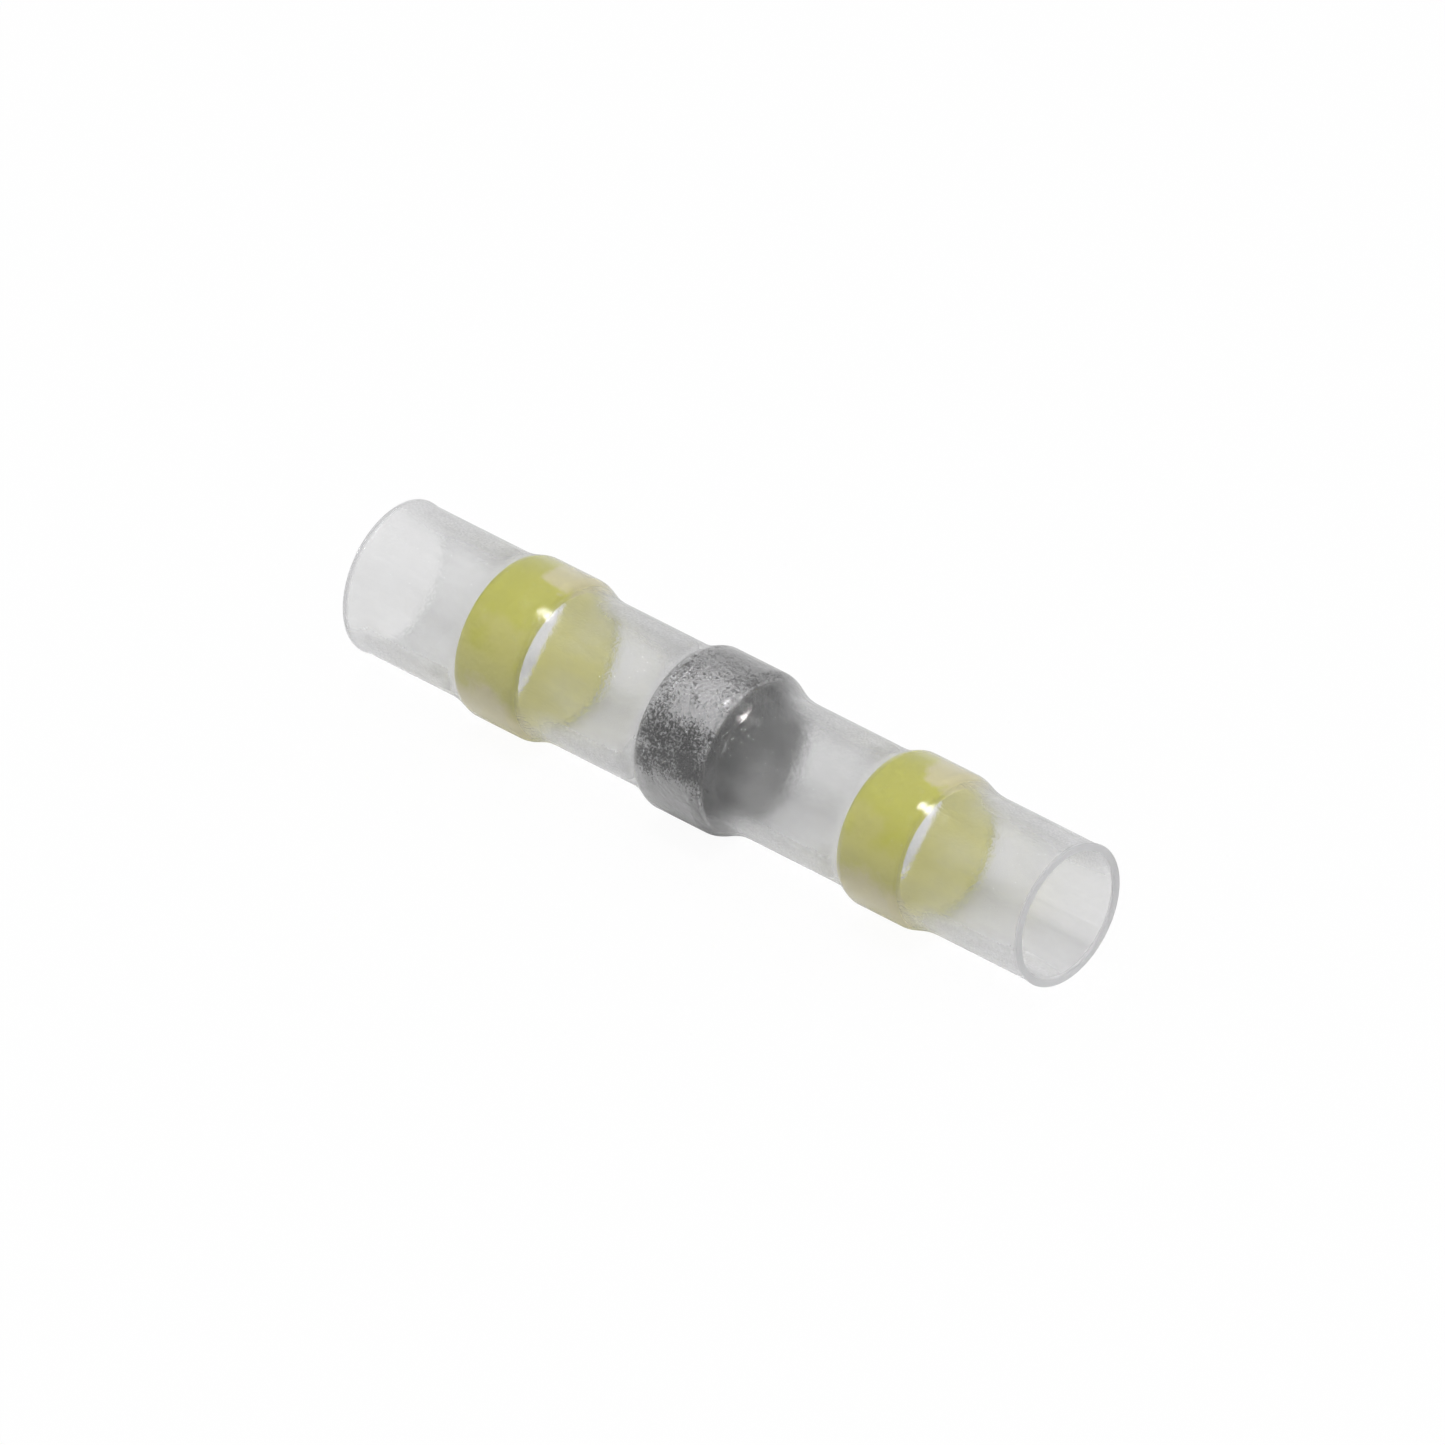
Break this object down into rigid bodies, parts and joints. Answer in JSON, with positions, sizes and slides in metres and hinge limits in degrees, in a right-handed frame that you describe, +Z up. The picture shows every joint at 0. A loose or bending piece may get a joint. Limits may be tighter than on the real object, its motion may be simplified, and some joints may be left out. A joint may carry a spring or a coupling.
{
  "type": "solder seal wire connector",
  "caption": "Clear heat-shrink sleeve shrunk over a ring of solder in the middle and yellow adhesive sealing rings near both ends, open at each end for a wire.",
  "frame": {"origin": "on the tube's axis, half way along the sleeve", "axes": "+X along the axis towards the slightly narrower right end, +Z up with the connector lying down"},
  "size_m": [0.04, 0.0078, 0.0078],
  "materials": {
    "clear_sleeve": "satin",
    "yellow_adhesive": "satin",
    "solder": "satin"
  },
  "bodies": {
    "root": {"heat_shrink_sleeve": "clear_sleeve", "left_sealing_ring": "yellow_adhesive", "solder_ring": "solder", "right_sealing_ring": "yellow_adhesive"}
  },
  "joints": []
}
